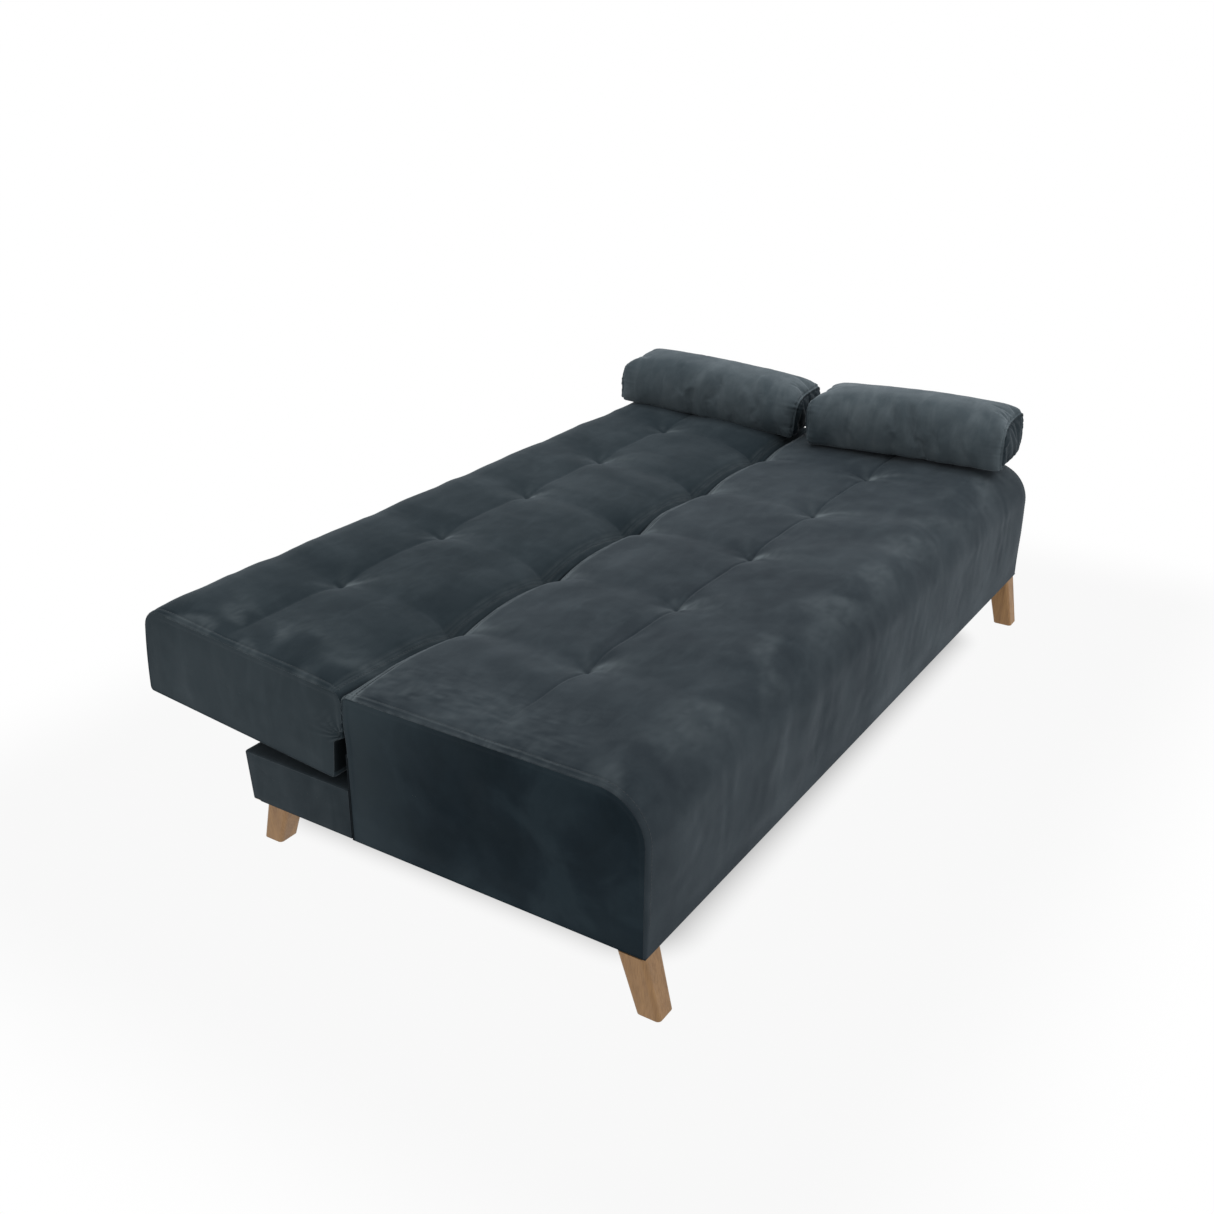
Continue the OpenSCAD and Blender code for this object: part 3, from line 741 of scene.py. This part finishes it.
def build_seat(cover):
    xs = x_samples(STEP, columns=TUFT_X)
    lines = fine_lines(S_MID, *(S_CREASE - d for d in CREASE_LINES))
    ss = SEAT_PATH.samples(STEP, rows=(S_MID, S_CREASE), lines=lines)
    shell = Shell()
    shell.add(cover.point(xs[:, None], ss), flip=True, painted_sheen_and_brushing=seat_highlights_and_brushing(xs[:, None], ss))
    for side in (-1, 1):
        strip = cover.point(side * HALF, ss)
        foot_y = np.arange(strip[-1, 1] - STEP, strip[0, 1], -STEP)
        flap = np.stack([np.full(24, strip[-1, 1]), np.linspace(strip[-1, 2], APRON_Z, 25)[1:]], 1)
        foot = np.stack([foot_y, np.full(len(foot_y), APRON_Z)], 1)
        loop = np.concatenate([strip[:, 1:], flap, foot, strip[:1, 1:]])
        middle = ((FRONT_Y + 0.14, 0.275), (SEAT_REAR_Y - 0.14, 0.275))
        panel = end_panel(loop, middle, HALF, side, seat_end, STEP * 1.6)
        # the end panels take the darker velvet: painted shade
        shell.add(panel, flip=side < 0, material=1, painted_sheen_and_brushing=seat_end_gradient(panel[..., 1], panel[..., 2]))
        x, inner = side * HALF, side * (HALF - 30 * MM)
        front, rear = (x, FRONT_Y, APRON_Z), (x, SEAT_REAR_Y, APRON_Z)
        flap_top = (x, SEAT_REAR_Y, REAR_FLAP_Z + 6 * MM)
        shell.add(patch(rear, flap_top, (inner, SEAT_REAR_Y, APRON_Z)), flip=side > 0)
        shell.add(patch(front, rear, (x - side * HEM, FRONT_Y + HEM, APRON_Z)), flip=side > 0)
    left, right = (-HALF, FRONT_Y, APRON_Z), (HALF, FRONT_Y, APRON_Z)
    shell.add(patch(left, right, (-HALF, FRONT_Y + HEM, APRON_Z)), flip=True)
    made = shell.build("seat_velvet", VELVET, VELVET_END_PAINTED_SHADE)
    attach(made, "seat")
    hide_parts("seat_cover", "seat_front_pad", "seat_end_pads")


# ---- back cover ----

def back_place(u, v):
    c, s = math.cos(TILT), math.sin(TILT)
    return PIVOT.y + u * c - v * s, PIVOT.z + u * s + v * c


BACK_PATH = Path([
    (0.15, -BACK_Q, 0), (-BACK_Q, -BACK_Q, 20 * MM), (-BACK_Q, BACK_Q, 9 * MM),
    (BACK_REACH, BACK_Q, 40 * MM), (BACK_REACH, -BACK_Q, 10 * MM), (0.15, -BACK_Q, 0)])
B_LOW = BACK_PATH.where(z=-BACK_Q + 12 * MM, nearest_to=0.25)
B_TUCK = BACK_PATH.where(z=-4 * MM, nearest_to=0.33)
B_CREASE = BACK_PATH.where(y=-BACK_Q + 4 * MM, nearest_to=0.45)
B_ROW = BACK_PATH.where(y=BACK_TUFT_U, nearest_to=0.7)
B_TAIL = BACK_PATH.where(y=BACK_REACH - 20 * MM, nearest_to=0.95)


def pull(x, ahead, behind):
    """How far the crease tufts pull an edge down: scallops that fade away from the edge on each side."""
    deep = 29 * MM * (1 - scallop(x)) * end_fade(x, 90 * MM)
    return deep * np.exp(-np.clip(ahead, 0, 1) / (44 * MM)) * np.exp(-np.clip(behind, 0, 1) / (55 * MM))


BACK_LINES = (3 * MM, 8 * MM, 14 * MM)


def settled(x, s):
    """The slab's front edge sits a little lower than the seat's."""
    return 7 * MM * end_fade(x, 60 * MM) * np.exp(-np.clip(abs(s - B_CREASE), 0, 1) / (40 * MM))


def tucked(s):
    """1 on the lower half of the slab's front face, where the cover is drawn in at each end."""
    return smooth(s - B_LOW + 16 * MM, 16 * MM) * smooth(B_TUCK - s, 9 * MM)


def bridged(s):
    """1 on the upper half of that face, where the end of the cover reaches across to the seat."""
    return smooth(s - B_TUCK + 3 * MM, 9 * MM) * smooth(B_CREASE - 4 * MM - s, 20 * MM)


def back_shape(x, s):
    crown = end_fade(x) * smooth(s - B_CREASE + 6 * MM, 34 * MM) * smooth(B_TAIL + 40 * MM - s, 90 * MM)
    near, rear = arch(s, B_CREASE - 25 * MM, B_ROW), arch(s, B_ROW, B_TAIL + 45 * MM)
    out = crown * (6 * MM + 13 * MM * near + 11 * MM * rear)
    out -= crown * 3.5 * MM * near_tuft(x, 45 * MM)
    out += tuft_dips(x, s, B_ROW, 9 * MM, 11 * MM, 7 * MM, 50 * MM, 12)
    at_end = hump(np.clip(abs(x) - HALF + 8 * MM, -1, 0), 30 * MM)
    out += at_end * (bridged(s) * (7 * MM + 2.0 * MM * np.sin(s * 2 * math.pi / (17 * MM))))
    out -= 7 * MM * tucked(s) * hump(np.clip(abs(x) - HALF + 60 * MM, -1, 0), 90 * MM)
    for line in BACK_LINES:
        out -= 1.2 * MM * end_fade(x, 8 * MM) * groove(B_CREASE + line - s, 1.6 * MM)
    out -= 0.9 * MM * groove(HALF - 12.2 * MM - abs(x), 1.5 * MM) * smooth(s - B_CREASE, 20 * MM)
    out += 3.5 * MM * smooth(B_CREASE + 2 * MM - s, 12 * MM) * smooth(s - B_CREASE + 110 * MM, 50 * MM)
    out += ripples(crown, x, s, B_CREASE, -1, 23 * MM)
    out += 5 * MM * arch(s, B_TAIL, B_TAIL + 190 * MM)
    calm = end_fade(x, 20 * MM) * smooth(s - 0.26, 60 * MM)
    small = uneven(x, s, (0.30, 80, 14), (0.10, 30, 19))
    out += calm * (1.2 * MM * waves(x, s, 230 * MM, 13) + small)
    return out


def gathers(y, z):
    """Creases that fan out from the point where the slab's cover is tucked in, and their distance from it."""
    du, dv = y + BACK_Q + 3 * MM, z - 1 * MM
    r, turn = np.hypot(du, dv), np.arctan2(dv, du)
    fan = np.sin(15 * turn + 1.5 * np.sin(3 * turn))
    fan = fan * smooth(r - 3 * MM, 6 * MM) * np.exp(-r / (22 * MM))
    return fan * smooth(z + 25 * MM, 20 * MM), r


# a faint painted sheen over the slab's ends, painted highlights on the crests of the gathers, and painted shade
# where the sheen fades at the point the cover is tucked in
def back_end_highlights(y, z):
    fan, r = gathers(y, z)
    return 0.13 * (1 - 0.8 * hump(r, 22 * MM)) + 0.55 * np.clip(fan, 0, 1)


def back_end(y, z, depth):
    """Puff of the slab's end, with the gathers where the front corner is tucked in."""
    rise = smooth(depth, 55 * MM)
    soft = uneven(y, z, (1.1, 170, 31), (0.5, 60, 32))
    fan, r = gathers(y, z)
    front = smooth(depth, 3 * MM) * (3.0 * MM * fan - 6 * MM * hump(r, 12 * MM))
    top = smooth(z - 0.02, 30 * MM)
    return -1.0 * MM + felled(depth, height=1.2 * MM) * top + rise * (3.5 * MM + soft) + front


def build_back(cover):
    edges = [sign * x for sign in (-1, 1) for x in SLOT_X]
    xs = x_samples(STEP, edges, columns=TUFT_X)
    low = BACK_PATH.where(y=SLOT_U, nearest_to=0.12)
    high = BACK_PATH.where(z=SLOT_V, nearest_to=0.35)
    lines = [low, high, B_LOW] + fine_lines(*(B_CREASE + d for d in BACK_LINES))
    lines += [B_TUCK + k * 2.8 * MM for k in range(-8, 12)]
    ss = BACK_PATH.samples(STEP, rows=(B_ROW, B_CREASE), lines=lines)
    shell = Shell()
    strip, painted_sheen_and_brushing = cover.point(xs[:, None], ss), back_highlights(xs[:, None], ss)
    skip = between(xs, *SLOT_X)[:, None] & between(ss, low, high)
    # from B_LOW to B_TUCK the strip takes the near-black velvet: painted shade in the gap behind the seat
    dark = [int(np.argmin(abs(ss - at))) for at in (B_LOW, B_TUCK)]
    for a, b, material in ((0, dark[0], 0), (dark[0], dark[1], 1), (dark[1], len(ss) - 1, 0)):
        shell.add(strip[:, a:b + 1], skip=skip[:, a:b], flip=True, material=material, painted_sheen_and_brushing=painted_sheen_and_brushing[:, a:b + 1])
    for side in (-1, 1):
        p, n = BACK_PATH.at(ss)
        x = np.full(len(ss), side * HALF)
        loop = p + n * (cover.shape(x, ss) - cover.inset(x))[:, None]
        grid = end_panel(loop, ((0.02, 0), (BACK_REACH - 0.12, 0)), HALF, side, back_end, STEP * 1.5)
        painted_sheen_and_brushing = back_end_highlights(grid[..., 1], grid[..., 2])
        y, z = back_place(grid[..., 1], grid[..., 2])
        grid[..., 1], grid[..., 2] = y, z
        shell.add(grid, flip=side < 0, painted_sheen_and_brushing=painted_sheen_and_brushing)
    made = shell.build("back_velvet", VELVET_BACK, VELVET_GAP_PAINTED_SHADE)
    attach(made, "back")
    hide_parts("back_cover", "back_foam", "back_wadding", "back_edge_pads")

    # the lined slots that the fixed hinge plates stand in
    lining = Shell()
    us, vs = np.linspace(-BACK_Q + 3 * MM, SLOT_U, 12), np.linspace(-BACK_Q + 1 * MM, SLOT_V, 12)
    for sign in (-1, 1):
        x0, x1 = (sign * x for x in SLOT_X)
        for x, flip in ((x0, sign < 0), (x1, sign > 0)):
            u, v = np.meshgrid(us, vs, indexing="ij")
            y, z = back_place(u, v)
            lining.add(np.stack([np.full(y.shape, x), y, z], -1), flip=flip)
        for u, v in ((np.full(12, SLOT_U), vs), (us, np.full(12, SLOT_V))):
            y, z = back_place(u, v)
            wall = np.stack([np.stack([np.full(12, x), y, z], -1) for x in np.linspace(x0, x1, 3)])
            lining.add(wall)
    lined = lining.build("back_slot_lining", LINING)
    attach(lined, "back")


# ---- base cover behind the seat ----

def build_base_cover():
    half = BASE_HI.x
    front = BASE_LO.y
    path = Path([
        (front, BASE_HI.z, 0), (BASE_HI.y, BASE_HI.z, 4 * MM), (BASE_HI.y - 10 * MM, BASE_LO.z, 3 * MM),
        (BASE_HI.y - 24 * MM, BASE_LO.z + 1 * MM, 0)])

    def shape(x, s):
        soft = uneven(x, s, (0.6, 160, 41), (0.25, 50, 42))
        return end_fade(x, 12 * MM, half) * soft * smooth(s - 0.262, 20 * MM) * smooth(0.36 - s, 20 * MM)

    cover = Cover(path, shape, edge=5 * MM, half=half)
    holes = (858 * MM, 892 * MM)
    hole_y = (FRONT_Y + 688 * MM, FRONT_Y + 758 * MM)
    xs = x_samples(STEP * 1.5, [sign * x for sign in (-1, 1) for x in holes], half)
    s0, s1 = (path.where(y=y, nearest_to=0.1) for y in hole_y)
    ss = path.samples(STEP * 1.5, lines=(s0, s1))
    skip = between(xs, *holes)[:, None] & between(ss, s0, s1)
    shell = Shell()
    shell.add(cover.point(xs[:, None], ss), skip=skip, flip=True)
    for side in (-1, 1):
        strip = cover.point(side * half, ss)[:, 1:]
        ys = np.arange(strip[-1, 0] - STEP, front, -STEP * 1.5)
        foot = np.stack([ys, np.full(len(ys), BASE_LO.z + 0.5 * MM)], 1)
        rise = np.stack([np.full(9, front), np.linspace(BASE_LO.z + 0.5 * MM, BASE_HI.z, 10)[:-1]], 1)
        loop = np.concatenate([strip, foot, rise, strip[:1]])
        middle = ((front + 0.06, 0.188), (BASE_HI.y - 0.06, 0.188))

        def puff(y, z, depth):
            soft = uneven(y, z, (0.7, 120, 43), (0.3, 45, 44))
            return -0.5 * MM + smooth(depth, 14 * MM) * (0.9 * MM + soft)

        shell.add(end_panel(loop, middle, half, side, puff, STEP * 1.6), flip=side < 0)
        x, z = side * half, BASE_LO.z + 0.5 * MM
        inner, high = side * 0.9, BASE_HI.z - 0.5 * MM
        shell.add(patch((x, front, z), (x, front, high), (inner, front, z)), flip=side < 0)
        shell.add(patch((inner, front, z), (inner, front, high), (inner, front - 22 * MM, z)), flip=side < 0)
    made = shell.build("base_velvet", VELVET_BASE)
    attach(made, "base")
    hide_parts("base_cover")


# ---- loose cushions ----

CUSHION = (218 * MM, 522 * MM, 120 * MM)
CUSHION_R = 24 * MM
CUSHION_X = 0.862
CUSHION_CAP = 40 * MM


def seam_gap(co):
    """How far points of the flat cushion are past its end seams; below 0 on the long panel."""
    w, length, h = CUSHION
    r = CUSHION_R
    across = np.stack([co[:, 0], co[:, 2] - h / 2], 1)
    q = abs(across) - np.array([w / 2 - r, h / 2 - r])
    outline = np.linalg.norm(np.maximum(q, 0), axis=1) + np.minimum(q.max(1), 0) - r
    return (abs(co[:, 1]) - length / 2) - outline


def read(mesh, what="co"):
    values = np.empty(len(mesh.vertices) * 3)
    mesh.vertices.foreach_get(what, values)
    return values.reshape(-1, 3)


def write(mesh, co):
    mesh.vertices.foreach_set("co", np.asarray(co, float).ravel())
    mesh.update()


def apply_all(made):
    """Turns the shown result of the modifiers into the mesh itself."""
    seen = made.evaluated_get(bpy.context.evaluated_depsgraph_get())
    mesh = bpy.data.meshes.new_from_object(seen)
    made.modifiers.clear()
    made.data = mesh


def blow_up(made):
    """Fills the cushion: the fabric swells under pressure while its end seams gather."""
    co = read(made.data)
    loose = made.vertex_groups.new(name="gather")
    tight = np.exp(-(seam_gap(co) / (14 * MM)) ** 2)
    for i, weight in enumerate(tight):
        loose.add([i], float(weight), "REPLACE")
    cloth = made.modifiers.new("cloth", "CLOTH")
    c = cloth.settings
    c.quality, c.mass, c.air_damping = 6, 0.25, 2.0
    c.tension_stiffness = c.compression_stiffness = 13
    c.shear_stiffness, c.bending_stiffness = 6, 0.4
    c.tension_damping = c.compression_damping = c.shear_damping = 12
    c.use_pressure, c.uniform_pressure_force = True, 6.5
    c.vertex_group_shrink, c.shrink_min, c.shrink_max = "gather", -0.035, 0.03
    c.effector_weights.gravity = 0
    cloth.collision_settings.use_collision = False
    for frame_number in range(1, 21):
        SCENE.frame_set(frame_number)
    seen = made.evaluated_get(bpy.context.evaluated_depsgraph_get())
    grown = read(seen.to_mesh())
    made.modifiers.clear()
    SCENE.frame_set(1)
    move = grown - co
    far = np.linalg.norm(move, axis=1)
    write(made.data, co + move * (CUSHION_CAP * np.tanh(far / CUSHION_CAP) / np.maximum(far, 1e-9))[:, None])


def cushion(name, foot, turn, tilt, body, node, seed, squash=1.0):
    """A box cushion: one panel wrapped round it and gathered on to two end panels."""
    w, length, h = CUSHION
    made = soft_box(name, (-w / 2, -length / 2, 0), (w / 2, length / 2, h), CUSHION_R, CUSHION_VELVET,
                    step=20 * MM, rough=0)
    remesh = made.modifiers.new("remesh", "REMESH")
    remesh.mode, remesh.voxel_size = "VOXEL", 5.5 * MM
    apply_all(made)
    start = read(made.data)
    ripple = waves(start[:, 0] + start[:, 2], start[:, 1], 70 * MM, seed)
    write(made.data, start + read(made.data, "normal") * (0.8 * MM * ripple)[:, None])
    (blow_up)(made)
    co = read(made.data)
    # it lies flat on the bed, and spreads a little there
    low, z = 10 * MM, co[:, 2]
    co[:, 2] = np.where(z < low, low * np.exp((z - low) / low), z)
    write(made.data, co)
    kept = made.data.attributes.new("seam_gap", "FLOAT", "POINT")
    kept.data.foreach_set("value", seam_gap(start).astype(np.float32))
    finer = made.modifiers.new("finer", "SUBSURF")
    finer.levels = finer.render_levels = 1
    apply_all(made)
    # the end seams: a raised welt in a groove, and the gathers that run out of it
    gap = np.empty(len(made.data.vertices), np.float32)
    made.data.attributes["seam_gap"].data.foreach_get("value", gap)
    co, n = read(made.data), read(made.data, "normal")
    past, gap = gap, abs(gap)
    around = np.arctan2((co[:, 2] - h / 2) / h, co[:, 0] / w)
    pucker = np.sin(23 * around + 2 * np.sin(3 * around + seed))
    pucker += 0.8 * np.sin(37 * around + 3 * np.sin(2 * around) + seed)
    size = 0.75 + 0.5 * np.sin(5 * around + seed) * np.sign(co[:, 1])
    seam = 2.2 * MM * hump(gap, 3.0 * MM) - 2.2 * MM * hump(gap - 7 * MM, 4 * MM)
    seam += 1.2 * MM * pucker * size * np.exp(-gap / (22 * MM)) * smooth(gap, 6 * MM)
    write(made.data, co + n * seam[:, None])
    made.data.materials.clear()
    for material in (CUSHION_VELVET, CUSHION_END):
        made.data.materials.append(material)
    made.data.polygons.foreach_set("material_index", [
        int(np.mean(past[list(face.vertices)]) > 0) for face in made.data.polygons])
    made.data.shade_smooth()
    lie = Matrix.Rotation(tilt, 4, "X") @ Matrix.Rotation(turn, 4, "Z")
    made.data.transform(Matrix.Translation(foot) @ lie @ Matrix.Diagonal((1, 1, squash, 1)))
    made.data.update()
    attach(made, body)
    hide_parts(node)


# ---- seams and stitching ----

def stitch_all(seat, back):
    """Topstitching along the crease and the end seams."""
    xs = np.arange(-HALF + 14 * MM, HALF - 13 * MM, 3 * MM)

    def across(cover, s):
        return cover.line(xs, np.full(len(xs), s))

    def ends(cover, start, stop):
        ss = np.arange(start, stop, 3 * MM)
        return [cover.line(np.full(len(ss), side * (HALF - 11 * MM)), ss) for side in (-1, 1)]

    stitches("seat_crease_stitches", "seat", [across(seat, S_CREASE - d) for d in (4 * MM, 17 * MM)])
    stitches("seat_end_stitches", "seat", ends(seat, 60 * MM, S_CREASE))
    stitches("back_crease_stitches", "back", [across(back, B_CREASE + 8 * MM)])
    stitches("back_end_stitches", "back", ends(back, B_CREASE, B_TAIL))


# ---- foam under the seat cover ----

def build_foam():
    lo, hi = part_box("seat_foam")
    lo, hi = (-0.915, lo.y + 16 * MM, 346 * MM), (0.915, hi.y - 14 * MM, 398 * MM)
    made = soft_box("seat_foam_block", lo, hi, 12 * MM, FOAM)
    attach(made, "seat")
    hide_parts("seat_foam")


# ---- what the CAD shows: bevels catch the light on the hard pieces ----

def soften_edges():
    for name, node in frame["nodes"].items():
        bevel = node.modifiers.new("edges", "BEVEL")
        bevel.width = 3 * MM if name.startswith(("leg_front", "leg_rear")) else 0.6 * MM
        bevel.segments = 3
        bevel.limit_method = "ANGLE"
        bevel.angle_limit = math.radians(40)
        node.data.shade_smooth()
        node.modifiers.new("weighted", "WEIGHTED_NORMAL").keep_sharp = True


# ---- studio ----

def studio():
    w = FLOOR_HALF
    floor = make_mesh("floor", [(-w, -w, 0), (w, -w, 0), (w, w, 0), (-w, w, 0)], [(0, 1, 2, 3)], pale_floor())
    world = SCENE.world or bpy.data.worlds.new("world")
    SCENE.world = world
    world.use_nodes = True
    tree = world.node_tree
    seen, lit = tree.nodes["Background"], tree.nodes.new("ShaderNodeBackground")
    lit.inputs["Strength"].default_value = 0.78
    for ground in (seen, lit):
        ground.inputs["Color"].default_value = (1, 1, 1, 1)
    path, both = tree.nodes.new("ShaderNodeLightPath"), tree.nodes.new("ShaderNodeMixShader")
    tree.links.new(path.outputs["Is Camera Ray"], both.inputs[0])
    tree.links.new(lit.outputs[0], both.inputs[1])
    tree.links.new(seen.outputs[0], both.inputs[2])
    tree.links.new(both.outputs[0], tree.nodes["World Output"].inputs["Surface"])
    lights = [
        ("key", (1.8, -2.8, 3.4), (2.0, 1.6), 42),
        ("top", (0.4, 1.2, 4.4), (4.0, 3.0), 55),
        ("far", (3.8, 0.6, 2.0), (2.2, 1.6), 24),
    ]
    for name, place, size, power in lights:
        data = bpy.data.lights.new(name, "AREA")
        data.shape = "RECTANGLE"
        data.size, data.size_y = size
        data.energy = power
        light = bpy.data.objects.new(name, data)
        light.location = place
        light.rotation_euler = (Vector((0, 0, 0.35)) - Vector(place)).to_track_quat("-Z", "Y").to_euler()
        SCENE.collection.objects.link(light)
    SCENE.view_settings.view_transform = "Standard"


def pale_floor():
    """A floor that glows plain white away from the bed, with dark grey paper under it as a painted shadow."""
    t = Tree("floor")
    # dark grey paper: under the bed this is a painted shadow
    t.set(Base_Color=(0.24, 0.24, 0.24, 1), Roughness=0.9, Specular_IOR_Level=0.0)
    # the white glow is 0.94 within 0.30 m of the bed's footprint and full from 0.75 m
    white = t.add("Emission", {"Strength": edge_of(t, (0, 0, 0), (HALF, 0.57), 0.30, 0.75, 0.94)})
    # 0 under the bed, where the painted shadow shows, rising to 1 where the white glow takes over
    lit = edge_of(t, (0, 0.04, 0), (0.82, 0.46), -0.12, 0.05, 0.0)
    both = t.add("MixShader", {0: lit, 1: t.shader.outputs[0], 2: white.outputs[0]}).outputs[0]
    t.material.node_tree.links.new(both, t.nodes["Material Output"].inputs["Surface"])
    return t.material


def edge_of(t, shift, half, start, end, least):
    """Rises from `least` to 1 as a point goes from `start` to `end` metres outside a rectangle."""
    core = (half[0] + start, half[1] + start, 0)
    out = t.place
    for operation, other in (("ADD", shift), ("ABSOLUTE", 3 * (0,)), ("SUBTRACT", core), ("MAXIMUM", 3 * (0,))):
        out = t.add("VectorMath", {0: out, 1: other}, operation=operation).outputs[0]
    far = t.add("VectorMath", {0: out}, operation="LENGTH").outputs["Value"]
    span = {"Value": far, "From Min": 0.0, "From Max": end - start, "To Min": least}
    return t.add("MapRange", span, interpolation_type="SMOOTHSTEP").outputs["Result"]


def camera():
    data = bpy.data.cameras.new("camera")
    data.lens, data.sensor_width = 40.06, 36
    made = bpy.data.objects.new("camera", data)
    forward = Vector((0.76901, 0.49130, -0.40896)).normalized()
    right = forward.cross(Vector((0, 0, 1))).normalized()
    up = right.cross(forward)
    roll = Matrix.Rotation(math.radians(-0.34), 3, forward)
    right, up = roll @ right, roll @ up
    turn = Matrix((right, up, -forward)).transposed()
    made.matrix_world = Matrix.Translation((-2.43364, -1.42368, 1.51260)) @ turn.to_4x4()
    SCENE.collection.objects.link(made)
    SCENE.camera = made


dress_cad()
soften_edges()
seat = Cover(SEAT_PATH, seat_shape, drop=lambda x, s: pull(x, S_CREASE - s, s - S_CREASE))
back = Cover(BACK_PATH, back_shape, place=back_place, edge=7 * MM,
             drop=lambda x, s: pull(x, s - B_CREASE, B_CREASE - s) + settled(x, s))
build_seat(seat)
build_back(back)
build_base_cover()
build_foam()
stitch_all(seat, back)
cushion("cushion_front_velvet", (CUSHION_X, FRONT_Y + 0.291, 0.446), math.radians(5), 0,
        "front_cushion", "cushion_front", 2)
cushion("cushion_rear_velvet", (CUSHION_X, *back_place(0.152, BACK_Q + 9 * MM)), math.radians(7), TILT,
        "rear_cushion", "cushion_rear", 5, squash=0.93)
studio()
camera()
